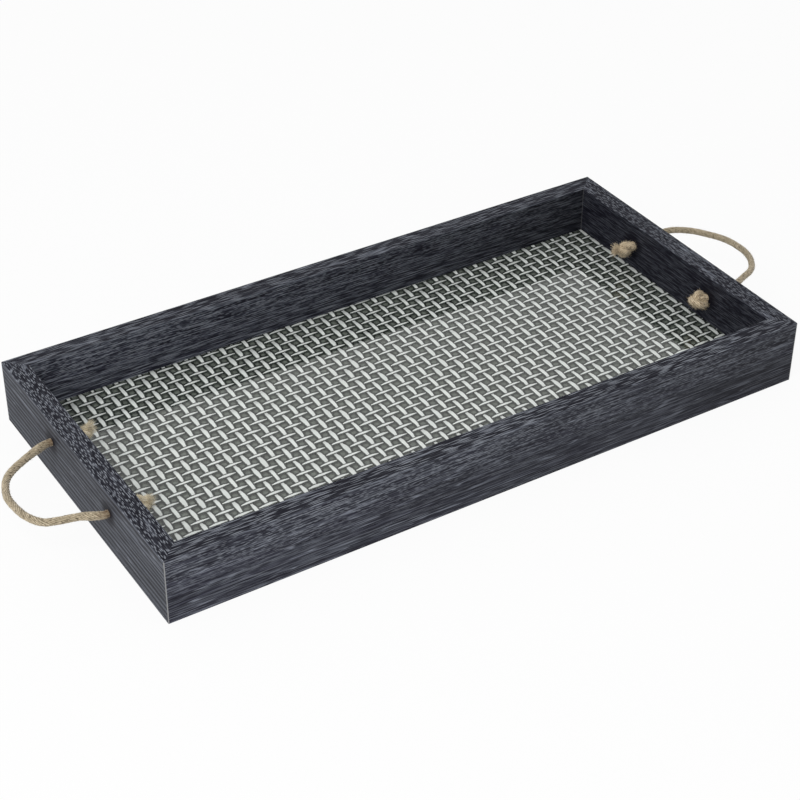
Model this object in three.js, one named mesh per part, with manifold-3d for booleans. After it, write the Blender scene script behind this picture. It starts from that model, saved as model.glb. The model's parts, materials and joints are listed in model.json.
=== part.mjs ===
// Serving tray: a mitred wooden frame, a glass floor over a woven metal insert, and rope handles.
// Millimetres, +Z up. The origin lies on the table, under the middle of the frame.
// X runs along the long side, and the front rail is on the -Y side.
import * as THREE from "three";
import { mergeVertices } from "three/addons/utils/BufferGeometryUtils.js";
import Module from "manifold-3d";

// Frame
const trayLength = 610;
const trayWidth = 305;
const railHeight = 60;
const railThickness = 18;
const rabbetWidth = 8; // step below the lip that takes the stacked panels
const edgeEase = 0.8; // rounding of the rim's edges
const mitreGlueLine = 0.3;

// Panels stacked in the rabbet, from the lip down
const seatGap = 0.2; // slack between stacked panels
const panelSideGap = 1; // slack between a panel's edge and the rabbet's wall
const glassThickness = 3;
const glassSeam = 0.4; // ground edge of the pane
const boardThickness = 3;
const underRecess = 3.6; // height of the fastening points above the table

// Woven insert: crimped cross strips over and under straight long wires
const stripPitch = 11.38; // along X
const stripWidth = 4;
const stripThickness = 0.7;
const wirePitch = 10; // along Y
const wireWidth = 2.8;
const wireThickness = 0.9;
const weaveGap = 0.3; // air between a strip and the wire that it crosses
const edgeBarWidth = 4;

// Glazier's points, driven into the rabbet's wall below the board
const longRailPoints = 3;
const endRailPoints = 2;
const pointWidth = 9;
const pointLength = 15;
const pointBite = 5;
const pointThickness = 0.8;

// V-nails, driven from below across the mitres
const nailSpan = 6;
const nailRise = 3.6;
const nailThickness = 0.7;
const nailHeight = 10;
const nailSink = 0.3; // depth of a nail's foot below the rail's underside

// Rope handles
const ropeDiameter = 6;
const knotSqueeze = 0.8; // what pulling tight takes off the rope's diameter
const holeClearance = 0.5; // round the rope
const holeSpacing = 108;
const holeHeight = 38.5;
const swingGap = 0.6; // between the rail and the loop's round end
const leftDroop = 4.3; // degrees below level
const rightDroop = 0.7;

// Fits and facets
const cutClearance = 0.3;
const cutOverrun = 1;
const holeSides = 16;
const loopSides = 8;
const loopSteps = 22;
const knotSides = 6;
const knotSteps = 40;
const easeSegments = 3;

// Rope routes. Each loop is two halves that run from a hole to the crown:
// distance out from the rail, and distance from the hole towards the middle.
const leftBackRoute = [
  [10, 1.5], [20, 5], [31, 10], [41, 15.5], [49, 23], [54, 33], [57, 44],
];
const leftFrontRoute = [
  [10, 3.5], [19, 9], [28, 12.5], [37, 15.5], [45, 19.5], [51, 27.5], [54.5, 36.5], [56.5, 47],
];
const rightBackRoute = [
  [12, -2.5], [25, -4], [34, -1], [42, 4.5], [49, 11.5], [55, 21], [61, 31], [64.5, 43],
];
const rightFrontRoute = [
  [12, 1.5], [25, 6], [34.5, 10], [43.5, 13.5], [50.5, 18], [56.5, 25], [61.5, 33.5], [65, 46],
];
// Overhand knot: distance from the rail's inner face, sideways, and up.
const knotRoute = [
  [3.9, -0.4, 0.3], [7.2, -1.4, 1.4], [8.8, -3.1, 4.2], [10.2, -5.6, 6.4], [12.9, -7.6, 7.4],
  [16.5, -7.9, 7], [19.5, -6.2, 5.5], [20.8, -3.2, 3.7], [19.6, 0, 2.7], [16.7, 2.4, 2.9],
  [13.3, 3, 4], [9.8, 2.9, 5.4], [6.4, 2, 6.3], [3.9, -0.7, 6.1], [3.3, -4.1, 4.8],
  [4.8, -6.9, 2.9], [8.1, -7.9, 1.5], [11.7, -7.1, 1.3], [14.2, -5, 2.6], [15.2, -2.7, 5.2],
  [17.3, -1, 7.9], [20.9, -0.2, 8.9], [25, 0.6, 8.6],
];
// Turn of each knot about its rope, in degrees
const knotTurns = { left_front: 160, left_back: 30, right_front: 200, right_back: 120 };

// Derived sizes
const openingLength = trayLength - 2 * railThickness;
const openingWidth = trayWidth - 2 * railThickness;
const rabbetWall = railThickness - rabbetWidth;
const panelLength = openingLength + 2 * (rabbetWidth - panelSideGap);
const panelWidth = openingWidth + 2 * (rabbetWidth - panelSideGap);
const crimp = ((stripThickness + wireThickness) / 2 + weaveGap) / (1 - wireWidth / wirePitch);
const weaveDepth = 2 * crimp + stripThickness;
const pointTop = underRecess + pointThickness;
const boardBottom = pointTop + seatGap;
const weaveBottom = boardBottom + boardThickness + seatGap;
const glassBottom = weaveBottom + weaveDepth + seatGap;
const lipHeight = glassBottom + glassThickness + seatGap;
const ropeRadius = ropeDiameter / 2;
const knotRopeRadius = (ropeDiameter - knotSqueeze) / 2;
const holeRadius = ropeRadius + holeClearance;
const pivotOut = ropeRadius + swingGap;
const legProud = swingGap / 2;

// Finishes
const finish = (color, roughness, metalness = 0) =>
  new THREE.MeshStandardMaterial({ color, roughness, metalness });
const charcoalWood = finish(0x3a3d46, 0.7);
const jute = finish(0xa98a60, 0.95);
const galvanised = finish(0xb9bdb8, 0.35, 0.9);
const greyBoard = finish(0x6a6a64, 0.85);
const bareSteel = finish(0x8d9093, 0.4, 0.9);
const clearGlass = finish(0xdfe8e6, 0.05);
clearGlass.transparent = true;
clearGlass.opacity = 0.3;

// Solids: cutting and joining
const wasm = await Module();
wasm.setup();

function solidOf(geometry) {
  const bare = geometry.clone();
  bare.deleteAttribute("normal");
  bare.deleteAttribute("uv");
  const merged = mergeVertices(bare, 1e-4);
  return new wasm.Manifold(
    new wasm.Mesh({
      numProp: 3,
      vertProperties: new Float32Array(merged.attributes.position.array),
      triVerts: new Uint32Array(merged.index.array),
    }),
  );
}

function geometryOf(solid) {
  const mesh = solid.getMesh();
  const geometry = new THREE.BufferGeometry();
  geometry.setAttribute("position", new THREE.BufferAttribute(mesh.vertProperties, 3));
  geometry.setIndex(new THREE.BufferAttribute(mesh.triVerts, 1));
  geometry.computeVertexNormals();
  return geometry;
}

const join = (geometries) =>
  geometryOf(geometries.map(solidOf).reduce((sum, solid) => sum.add(solid)));

const cut = (geometry, tools) =>
  geometryOf(tools.map(solidOf).reduce((rest, tool) => rest.subtract(tool), solidOf(geometry)));

// Shapes
function outline(points) {
  return new THREE.Shape(points.map(([x, y]) => new THREE.Vector2(x, y)));
}

function ropeSection(radius, sides) {
  const corner = (k) => [
    radius * Math.cos((2 * Math.PI * k) / sides),
    radius * Math.sin((2 * Math.PI * k) / sides),
  ];
  return outline(Array.from({ length: sides }, (_, k) => corner(k)));
}

function ropeAlong(points, radius, sides, steps) {
  const extrudePath = new THREE.CatmullRomCurve3(points);
  return new THREE.ExtrudeGeometry(ropeSection(radius, sides), { extrudePath, steps });
}

function plate(length, width, thickness, seam = 0) {
  const x = length / 2 - seam;
  const y = width / 2 - seam;
  const shape = outline([[-x, -y], [x, -y], [x, y], [-x, y]]);
  const geometry = new THREE.ExtrudeGeometry(shape, {
    depth: thickness - 2 * seam,
    bevelEnabled: seam > 0,
    bevelThickness: seam,
    bevelSize: seam,
    bevelSegments: 1,
  });
  return geometry.translate(0, 0, seam);
}

// Evenly spaced places along a line, centred on its middle
const spread = (count, pitch) =>
  Array.from({ length: count }, (_, k) => (k - (count - 1) / 2) * pitch);

// Rails are made lying along X, with the outer face at y = 0 and the inner side towards +Y.
function railProfile() {
  const shape = new THREE.Shape();
  shape.moveTo(0, 0);
  shape.lineTo(rabbetWall, 0);
  shape.lineTo(rabbetWall, lipHeight);
  shape.lineTo(railThickness, lipHeight);
  shape.lineTo(railThickness, railHeight - edgeEase);
  shape.quadraticCurveTo(railThickness, railHeight, railThickness - edgeEase, railHeight);
  shape.lineTo(edgeEase, railHeight);
  shape.quadraticCurveTo(0, railHeight, 0, railHeight - edgeEase);
  shape.closePath();
  return shape;
}

function mitredRail(outerLength) {
  const geometry = new THREE.ExtrudeGeometry(railProfile(), {
    depth: 1,
    bevelEnabled: false,
    curveSegments: easeSegments,
  });
  const position = geometry.attributes.position;
  const glueShift = (mitreGlueLine / 2) * Math.SQRT2;
  for (let i = 0; i < position.count; i++) {
    const inward = position.getX(i);
    const height = position.getY(i);
    const end = position.getZ(i) > 0.5 ? 1 : -1;
    position.setXYZ(i, end * (outerLength / 2 - inward - glueShift), inward, height);
  }
  return geometry;
}

function ropeHoles() {
  return [-1, 1].map((side) =>
    new THREE.CylinderGeometry(
      holeRadius, holeRadius, railThickness + 2 * cutOverrun, holeSides,
    ).translate((side * holeSpacing) / 2, railThickness / 2, holeHeight),
  );
}

// Glazier's point: a flat steel tab with a pointed nose in the wood
function glazierPoint() {
  const half = pointWidth / 2;
  const shoulder = rabbetWall - pointBite / 2;
  const shape = outline([
    [0, rabbetWall - pointBite],
    [half, shoulder],
    [half, rabbetWall - pointBite + pointLength],
    [-half, rabbetWall - pointBite + pointLength],
    [-half, shoulder],
  ]);
  return new THREE.ExtrudeGeometry(shape, { depth: pointThickness, bevelEnabled: false });
}

function pointSlot(x) {
  const depth = pointBite + cutClearance + cutOverrun;
  const slot = new THREE.BoxGeometry(
    pointWidth + 2 * cutClearance, depth, pointThickness + 2 * cutClearance,
  );
  return slot.translate(x, rabbetWall + cutOverrun - depth / 2, underRecess + pointThickness / 2);
}

// V-nail: a chevron across the mitre, pointing into the tray. It lies in the middle of the rail's foot.
function chevron(grow, height) {
  const reach = nailSpan / 2 + grow;
  const rise = (nailRise / nailSpan) * reach;
  const half = nailThickness / 2 + grow * Math.SQRT2;
  const shape = outline([
    [-reach, -rise - half], [0, rise - half], [reach, -rise - half],
    [reach, -rise + half], [0, rise + half], [-reach, -rise + half],
  ]);
  return new THREE.ExtrudeGeometry(shape, { depth: height, bevelEnabled: false });
}

function placeNail(geometry, outerLength, end, bottom) {
  return geometry
    .rotateZ((end * Math.PI) / 4)
    .translate(end * (outerLength / 2 - rabbetWall / 2), rabbetWall / 2, bottom);
}

function nailSlot(outerLength, end) {
  const slot = chevron(cutClearance, nailSink + nailHeight + cutClearance + cutOverrun);
  return placeNail(slot, outerLength, end, -cutOverrun);
}

// Woven insert
function crimpedStrip(x, startsOver, rows) {
  const barEnd = panelWidth / 2 - edgeBarWidth / 2;
  const crests = rows.map((y, k) => [y, (k % 2 === 0) === startsOver ? crimp : -crimp]);
  const spine = [[-barEnd, 0], ...crests, [barEnd, 0]];
  const upper = spine.map(([y, z]) => [y, z + stripThickness / 2]);
  const lower = spine.map(([y, z]) => [y, z - stripThickness / 2]).reverse();
  const side = new THREE.ExtrudeGeometry(outline([...lower, ...upper]), {
    depth: stripWidth,
    bevelEnabled: false,
  });
  return side.rotateX(Math.PI / 2).rotateZ(Math.PI / 2).translate(x - stripWidth / 2, 0, 0);
}

const stripCount = Math.floor((openingLength - stripWidth) / stripPitch) + 1;
const wireCount = Math.floor((openingWidth - wireWidth) / wirePitch) + 1;
const columns = spread(stripCount, stripPitch);
const rows = spread(wireCount, wirePitch);

function crossStrips() {
  const bars = [-1, 1].map((side) =>
    new THREE.BoxGeometry(panelLength, edgeBarWidth, weaveDepth)
      .translate(0, (side * (panelWidth - edgeBarWidth)) / 2, 0),
  );
  const strips = columns.map((x, k) => crimpedStrip(x, k % 2 === 0, rows));
  return join([...bars, ...strips]);
}

function longWires() {
  const barLength = panelWidth - 2 * (edgeBarWidth + cutClearance);
  const bars = [-1, 1].map((side) =>
    new THREE.BoxGeometry(edgeBarWidth, barLength, weaveDepth)
      .translate((side * (panelLength - edgeBarWidth)) / 2, 0, 0),
  );
  const wires = rows.map((y) =>
    new THREE.BoxGeometry(panelLength - edgeBarWidth, wireWidth, wireThickness).translate(0, y, 0),
  );
  return join([...bars, ...wires]);
}

// Rope
function ropeLoop(plusRoute, minusRoute) {
  const half = (route, side) =>
    [[pivotOut, 0], ...route].map(([out, inset]) =>
      new THREE.Vector3(side * (holeSpacing / 2 - inset), pivotOut - out, 0),
    );
  const points = [...half(plusRoute, 1), ...half(minusRoute, -1).reverse()];
  const roundEnd = (side) =>
    new THREE.SphereGeometry(ropeRadius, loopSides, loopSides / 2)
      .translate((side * holeSpacing) / 2, 0, 0);
  const rope = ropeAlong(points, ropeRadius, loopSides, loopSteps);
  return join([rope, roundEnd(1), roundEnd(-1)]);
}

// The rope's leg through the rail, its overhand knot and its tail
function knottedLeg(turn) {
  const c = Math.cos(THREE.MathUtils.degToRad(turn));
  const s = Math.sin(THREE.MathUtils.degToRad(turn));
  const straight = [-legProud, railThickness / 3, (2 * railThickness) / 3, railThickness];
  const leg = straight.map((y) => new THREE.Vector3(0, y, 0));
  const knot = knotRoute.map(([into, aside, up]) =>
    new THREE.Vector3(c * aside - s * up, railThickness + into, s * aside + c * up),
  );
  return ropeAlong([...leg, ...knot], knotRopeRadius, knotSides, knotSteps);
}

// Assembly
const tray = new THREE.Group();

function add(parent, name, geometry, material) {
  const mesh = new THREE.Mesh(geometry, material);
  mesh.name = name;
  parent.add(mesh);
  return mesh;
}

function addSide(name, outerLength, x, y, turn, pointCount, extraCuts) {
  const side = new THREE.Group();
  side.position.set(x, y, 0);
  side.rotation.z = turn;
  tray.add(side);
  const pointPlaces = spread(pointCount, (outerLength - 2 * railThickness) / pointCount);
  const tools = [
    ...pointPlaces.map(pointSlot),
    ...[-1, 1].map((end) => nailSlot(outerLength, end)),
    ...extraCuts,
  ];
  add(side, `${name}_rail`, cut(mitredRail(outerLength), tools), charcoalWood);
  pointPlaces.forEach((place, k) => {
    const point = add(side, `${name}_glazier_point_${k + 1}`, glazierPoint(), bareSteel);
    point.position.set(place, 0, underRecess);
  });
  return side;
}

function addNails(side, outerLength, names) {
  [-1, 1].forEach((end, k) => {
    const nail = placeNail(chevron(0, nailHeight), outerLength, end, nailSink);
    add(side, names[k], nail, bareSteel);
  });
}

function addHandle(side, name, droop, plusRoute, minusRoute, plusKnot, minusKnot) {
  const swing = new THREE.Group();
  swing.position.set(0, -pivotOut, holeHeight);
  swing.rotation.x = THREE.MathUtils.degToRad(droop);
  side.add(swing);
  add(swing, `${name}_rope_loop`, ropeLoop(plusRoute, minusRoute), jute);
  [[plusKnot, 1], [minusKnot, -1]].forEach(([place, sign]) => {
    const knot = knottedLeg(knotTurns[`${name}_${place}`]);
    const leg = add(side, `${name}_rope_knot_${place}`, knot, jute);
    leg.position.set((sign * holeSpacing) / 2, 0, holeHeight);
  });
}

const quarter = Math.PI / 2;
const front = addSide("front", trayLength, 0, -trayWidth / 2, 0, longRailPoints, []);
const back = addSide("back", trayLength, 0, trayWidth / 2, Math.PI, longRailPoints, []);
const left = addSide("left_end", trayWidth, -trayLength / 2, 0, -quarter, endRailPoints, ropeHoles());
const right = addSide("right_end", trayWidth, trayLength / 2, 0, quarter, endRailPoints, ropeHoles());
addNails(front, trayLength, ["v_nail_front_left", "v_nail_front_right"]);
addNails(back, trayLength, ["v_nail_back_right", "v_nail_back_left"]);
addHandle(left, "left", leftDroop, leftFrontRoute, leftBackRoute, "front", "back");
addHandle(right, "right", rightDroop, rightBackRoute, rightFrontRoute, "back", "front");

const panels = new THREE.Group();
tray.add(panels);
const glass = add(
  panels, "glass_pane", plate(panelLength, panelWidth, glassThickness, glassSeam), clearGlass,
);
glass.position.z = glassBottom;
const strips = add(panels, "woven_cross_strips", crossStrips(), galvanised);
strips.position.z = weaveBottom + weaveDepth / 2;
const wires = add(panels, "woven_long_wires", longWires(), galvanised);
wires.position.z = weaveBottom + weaveDepth / 2;
const board = add(
  panels, "backing_board", plate(panelLength, panelWidth, boardThickness), greyBoard,
);
board.position.z = boardBottom;

export default tray;
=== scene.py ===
import bmesh
import bpy
import json
import math
import random
from mathutils import Matrix, Vector, noise
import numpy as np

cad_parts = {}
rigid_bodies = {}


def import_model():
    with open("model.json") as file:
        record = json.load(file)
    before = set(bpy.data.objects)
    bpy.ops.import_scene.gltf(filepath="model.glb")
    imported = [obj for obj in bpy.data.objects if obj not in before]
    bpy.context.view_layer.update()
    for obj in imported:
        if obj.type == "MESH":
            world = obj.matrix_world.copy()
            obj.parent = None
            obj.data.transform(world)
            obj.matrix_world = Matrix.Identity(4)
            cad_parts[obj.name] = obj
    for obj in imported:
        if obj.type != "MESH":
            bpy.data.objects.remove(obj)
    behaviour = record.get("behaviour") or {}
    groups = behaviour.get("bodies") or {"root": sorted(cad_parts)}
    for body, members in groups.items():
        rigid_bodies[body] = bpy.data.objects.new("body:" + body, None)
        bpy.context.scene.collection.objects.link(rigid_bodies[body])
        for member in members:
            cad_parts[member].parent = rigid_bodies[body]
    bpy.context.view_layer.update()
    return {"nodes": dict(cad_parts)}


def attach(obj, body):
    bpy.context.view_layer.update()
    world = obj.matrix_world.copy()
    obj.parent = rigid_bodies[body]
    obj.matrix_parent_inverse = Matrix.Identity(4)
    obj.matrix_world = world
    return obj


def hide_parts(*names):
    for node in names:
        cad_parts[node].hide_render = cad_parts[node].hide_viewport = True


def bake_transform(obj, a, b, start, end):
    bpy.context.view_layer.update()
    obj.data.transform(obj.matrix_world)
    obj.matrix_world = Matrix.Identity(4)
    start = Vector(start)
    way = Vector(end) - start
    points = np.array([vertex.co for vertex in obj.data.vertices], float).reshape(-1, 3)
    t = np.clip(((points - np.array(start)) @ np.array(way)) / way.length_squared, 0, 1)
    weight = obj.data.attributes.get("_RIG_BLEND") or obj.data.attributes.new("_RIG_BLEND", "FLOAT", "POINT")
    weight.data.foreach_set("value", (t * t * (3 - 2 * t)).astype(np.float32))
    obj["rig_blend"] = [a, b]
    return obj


for leftover in list(bpy.data.objects):
    bpy.data.objects.remove(leftover, do_unlink=True)
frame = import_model()
cadNodes = frame["nodes"]
scene = bpy.context.scene
scene.view_settings.view_transform = "Standard"
mm = 0.001
print("frame loaded,", len(cadNodes), "CAD nodes")

# Camera: the photo's own view
cameraView = {
    "azimuth": -32.2187,
    "elevation": 35.5596,
    "roll": 0.3632,
    "distance": 1.6367,
    "target": (-0.02705, -0.03411, 0.030),
    "focalPixels": 1940.69,
    "imagePixels": 800,
    "sensorWidth": 36,
    "nearest": 0.05,
    "farthest": 60,
}


def placeCamera(view):
    turn = math.radians(view["azimuth"])
    rise = math.radians(view["elevation"])
    roll = math.radians(view["roll"])
    back = Vector((
        math.sin(turn) * math.cos(rise),
        -math.cos(turn) * math.cos(rise),
        math.sin(rise),
    ))
    side = Vector((0, 0, 1)).cross(back).normalized()
    up = back.cross(side)
    rolledSide = side * math.cos(roll) + up * math.sin(roll)
    rolledUp = up * math.cos(roll) - side * math.sin(roll)
    lens = bpy.data.cameras.new("photoCamera")
    lens.sensor_width = view["sensorWidth"]
    lens.lens = view["sensorWidth"] * view["focalPixels"] / view["imagePixels"]
    lens.clip_start = view["nearest"]
    lens.clip_end = view["farthest"]
    holder = bpy.data.objects.new("photoCamera", lens)
    scene.collection.objects.link(holder)
    turned = Matrix((rolledSide, rolledUp, back)).transposed().to_4x4()
    place = Vector(view["target"]) + back * view["distance"]
    holder.matrix_world = Matrix.Translation(place) @ turned
    scene.camera = holder


placeCamera(cameraView)
print("camera placed")


# Small helpers for node trees. A socket or a node gives its own tree as id_data.
def fill(node, values):
    for label, value in values.items():
        if value is None:
            continue
        socket = node.inputs[label]
        if isinstance(value, bpy.types.NodeSocket):
            node.id_data.links.new(value, socket)
        elif socket.type == "RGBA" and len(value) == 3:
            socket.default_value = (*value, 1.0)
        else:
            socket.default_value = value


def step(tree, kind, links, **settings):
    made = tree.nodes.new(kind)
    for label, value in settings.items():
        setattr(made, label, value)
    fill(made, links)
    return made


def treeOf(*values):
    return next(value.id_data for value in values if isinstance(value, bpy.types.NodeSocket))


def sums(operation, first, second=None, third=None):
    tree = treeOf(first, second, third)
    return step(tree, "ShaderNodeMath", {0: first, 1: second, 2: third}, operation=operation).outputs[0]


def times(*factors):
    product = factors[0]
    for factor in factors[1:]:
        product = sums("MULTIPLY", product, factor)
    return product


def plus(first, second):
    return sums("ADD", first, second)


def minus(first, second):
    return sums("SUBTRACT", first, second)


def scaled(value, factor, start):
    return sums("MULTIPLY_ADD", value, factor, start)


def inverse(share):
    return minus(1.0, share)


def vectors(operation, first, second=None, scale=None):
    links = {0: first, 1: second, "Scale": scale}
    made = step(first.id_data, "ShaderNodeVectorMath", links, operation=operation)
    return made.outputs["Value" if operation == "DOT_PRODUCT" else "Vector"]


def joined(x, y, z):
    return step(treeOf(x, y, z), "ShaderNodeCombineXYZ", {0: x, 1: y, 2: z}).outputs[0]


def split(vector):
    return step(vector.id_data, "ShaderNodeSeparateXYZ", {0: vector}).outputs


# rises from low to high, or falls where low is the larger
def between(value, low, high):
    links = {"Value": value, "From Min": low, "From Max": high}
    made = step(value.id_data, "ShaderNodeMapRange", links, interpolation_type="SMOOTHSTEP")
    return made.outputs["Result"]


def marked(value, low, high, strength=1.0):
    return times(between(value, low, high), strength)


def blended(share, first, second):
    links = {0: share, 6: first, 7: second}
    return step(share.id_data, "ShaderNodeMix", links, data_type="RGBA").outputs[2]


def layered(colour, layers):
    for share, shade in layers:
        colour = blended(share, colour, shade)
    return colour


def grainNoise(coords, scale, detail=3.0, roughness=0.55, shift=(0, 0, 0), warp=0.0):
    tree = coords.id_data
    place = step(tree, "ShaderNodeMapping", {"Vector": coords, "Scale": scale, "Location": shift})
    return step(tree, "ShaderNodeTexNoise", {
        "Vector": place.outputs["Vector"], "Scale": 1.0, "Detail": detail, "Roughness": roughness,
        "Distortion": warp}).outputs["Fac"]


def attribute(tree, name):
    return step(tree, "ShaderNodeAttribute", {}, attribute_name=name).outputs["Fac"]


def objectCoords(tree):
    return tree.nodes.new("ShaderNodeTexCoord").outputs["Object"]


def bumped(height, strength, distance):
    links = {"Height": height, "Strength": strength, "Distance": distance}
    return step(height.id_data, "ShaderNodeBump", links).outputs["Normal"]


def emptyTree(owner):
    owner.use_nodes = True
    owner.node_tree.nodes.clear()
    return owner.node_tree


def newFinish(name):
    finish = bpy.data.materials.new(name)
    tree = emptyTree(finish)
    shader = tree.nodes.new("ShaderNodeBsdfPrincipled")
    step(tree, "ShaderNodeOutputMaterial", {"Surface": shader.outputs["BSDF"]})
    return finish, tree, shader


def meshObject(name, mesh):
    made = bpy.data.objects.new(name, mesh)
    scene.collection.objects.link(made)
    return made


# Studio: white floor and surroundings, one large soft lamp
studio = {
    "floorHalf": 4.0,
    "floorColour": (0.92, 0.92, 0.92),
    "floorGlow": 0.92,
    "skyFill": 0.70,
    "lampPower": 25.0,
    "lampSize": 1.5,
    "lampPlace": (-1.3, -0.9, 1.7),
}


def seenDirectly(tree):
    rays = tree.nodes.new("ShaderNodeLightPath")
    seen = sums("MAXIMUM", rays.outputs["Is Camera Ray"], rays.outputs["Is Glossy Ray"])
    return sums("MAXIMUM", seen, rays.outputs["Is Transmission Ray"])


def layFloor(values):
    half = values["floorHalf"]
    sheet = bpy.data.meshes.new("studioFloor")
    sheet.from_pydata(
        [(-half, -half, 0), (half, -half, 0), (half, half, 0), (-half, half, 0)], [], [(0, 1, 2, 3)])
    floor = meshObject("studioFloor", sheet)
    finish = bpy.data.materials.new("studioWhite")
    finish.cycles.emission_sampling = "NONE"
    tree = emptyTree(finish)
    paper = step(tree, "ShaderNodeBsdfDiffuse", {"Color": values["floorColour"]})
    glow = step(tree, "ShaderNodeEmission", {"Strength": 1.0})
    share = times(seenDirectly(tree), values["floorGlow"])
    lit = step(tree, "ShaderNodeMixShader", {0: share, 1: paper.outputs[0], 2: glow.outputs[0]})
    below = tree.nodes.new("ShaderNodeNewGeometry").outputs["Backfacing"]
    clear = tree.nodes.new("ShaderNodeBsdfTransparent")
    seen = step(tree, "ShaderNodeMixShader", {0: below, 1: lit.outputs[0], 2: clear.outputs[0]})
    step(tree, "ShaderNodeOutputMaterial", {"Surface": seen.outputs[0]})
    sheet.materials.append(finish)


def lightStudio(values):
    sky = bpy.data.worlds.new("studioSky")
    scene.world = sky
    tree = emptyTree(sky)
    share = times(seenDirectly(tree), 1 - values["skyFill"])
    light = step(tree, "ShaderNodeBackground", {"Strength": plus(share, values["skyFill"])})
    step(tree, "ShaderNodeOutputWorld", {"Surface": light.outputs[0]})
    lamp = bpy.data.lights.new("softLamp", "AREA")
    lamp.energy = values["lampPower"]
    lamp.size = values["lampSize"]
    holder = bpy.data.objects.new("softLamp", lamp)
    holder.location = values["lampPlace"]
    holder.rotation_mode = "QUATERNION"
    holder.rotation_quaternion = (-Vector(values["lampPlace"])).to_track_quat("-Z", "Y")
    holder.visible_glossy = False   # no lamp-shaped patch in the glass
    scene.collection.objects.link(holder)


layFloor(studio)
lightStudio(studio)
print("studio built")

# Rope: two knotted loops of twisted jute
rope = {
    "diameter": 6 * mm,
    "knotDiameter": 6.4 * mm,
    "yarns": 11,
    "facesPerYarn": 4,
    "yarnRoundness": 0.6,
    "lay": 34 * mm,
    "grooveDepth": 0.18,
    "step": 0.75 * mm,
    "unevenness": 0.07,
    "legInside": 9 * mm,
    "legMiddle": 4 * mm,
    "pivotOut": 3.6 * mm,
    "swellAt": 12 * mm,
    "swellReach": 7 * mm,
    "soilReach": 7 * mm,
    "bendsFrom": -1.5 * mm,
    "bendsTo": 12 * mm,
    "holeHalfSpacing": 54 * mm,
    "holeHeight": 38.5 * mm,
    "railOut": 305 * mm,
    "railThickness": 18 * mm,
    "knotLeg": (7 * mm, 12 * mm, 17 * mm),
    "knotEasesOver": 2,
    "knotSqueeze": 0.68,
    "knotShift": (2.4 * mm, -4.0 * mm),
}
yarnNoise = {
    "sizeStep": 3.7, "sizePerMetre": 110, "sizeSeed": 0.3,
    "toneStep": 5.1, "tonePerMetre": 45, "toneLayer": 2.0,
}
# out from the rail and in from the hole, mm
loopRoutes = {
    "leftBack": [(10, 1.5), (20, 5), (31, 10), (41, 15.5), (49, 23), (54, 33), (57, 44)],
    "leftFront": [
        (10, 3.5), (19, 9), (28, 12.5), (37, 15.5), (45, 19.5), (51, 27.5), (54.5, 36.5), (56.5, 47),
    ],
    "rightBack": [
        (12, -2.5), (25, -4), (34, -1), (42, 4.5), (49, 11.5), (55, 21), (61, 31), (64.5, 43),
    ],
    "rightFront": [
        (12, 1.5), (25, 6), (34.5, 10), (43.5, 13.5), (50.5, 18), (56.5, 25), (61.5, 33.5), (65, 46),
    ],
}
# into the tray, aside and up, mm
knotRoute = [
    (3.9, -0.4, 0.3), (7.2, -1.4, 1.4), (8.8, -3.1, 4.2), (10.2, -5.6, 6.4), (12.9, -7.6, 7.4),
    (16.5, -7.9, 7), (19.5, -6.2, 5.5), (20.8, -3.2, 3.7), (19.6, 0, 2.7), (16.7, 2.4, 2.9),
    (13.3, 3, 4), (9.8, 2.9, 5.4), (6.4, 2, 6.3), (3.9, -0.7, 6.1), (3.3, -4.1, 4.8),
    (4.8, -6.9, 2.9), (8.1, -7.9, 1.5), (11.7, -7.1, 1.3), (14.2, -5, 2.6), (15.2, -2.7, 5.2),
    (17.3, -1, 7.9),
]
handles = {
    "left": {
        "side": -1, "droop": 4.3, "thicker": 1.07, "swellAtExit": 0.12, "soil": 1.0, "seed": 11,
        "turns": {"front": 15, "back": 35}, "knotDrop": 3.2 * mm,
        "tails": {"front": [(14.6, 0.5, 0.2)], "back": [(15, -0.5, 1.6)]},
    },
    "right": {
        "side": 1, "droop": 0.7, "thicker": 1.0, "swellAtExit": 0.04, "soil": 0.6, "seed": 23,
        "turns": {"front": 200, "back": 120}, "knotDrop": 0.8 * mm,
        "tails": {"front": [(11.6, -0.1, -3.2)], "back": [(15.5, -2.8, -0.4), (18.8, -0.8, 0.4)]},
    },
}


def slid(a, b, start, end, now):
    return a * ((end - now) / (end - start)) + b * ((now - start) / (end - start))


def smoothRoute(points, perSpan=12):
    ends = [points[0] * 2 - points[1], *points, points[-1] * 2 - points[-2]]
    line = []
    for i in range(len(points) - 1):
        a, b, c, d = ends[i:i + 4]
        ta = 0.0
        tb = ta + math.sqrt((b - a).length)
        tc = tb + math.sqrt((c - b).length)
        td = tc + math.sqrt((d - c).length)
        for k in range(perSpan):
            t = tb + (tc - tb) * k / perSpan
            ab = slid(a, b, ta, tb, t)
            bc = slid(b, c, tb, tc, t)
            cd = slid(c, d, tc, td, t)
            abc = slid(ab, bc, ta, tc, t)
            bcd = slid(bc, cd, tb, td, t)
            line.append(slid(abc, bcd, tb, tc, t))
    line.append(points[-1].copy())
    return line


def lengthOf(line):
    return sum((b - a).length for a, b in zip(line, line[1:]))


def evenRoute(line, step):
    total = lengthOf(line)
    count = max(4, round(total / step))
    even = [line[0].copy()]
    travelled = 0.0
    target = total / count
    for a, b in zip(line, line[1:]):
        piece = (b - a).length
        while target <= travelled + piece + 1e-9 and len(even) < count:
            even.append(a.lerp(b, (target - travelled) / piece))
            target += total / count
        travelled += piece
    even.append(line[-1].copy())
    return even


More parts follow.
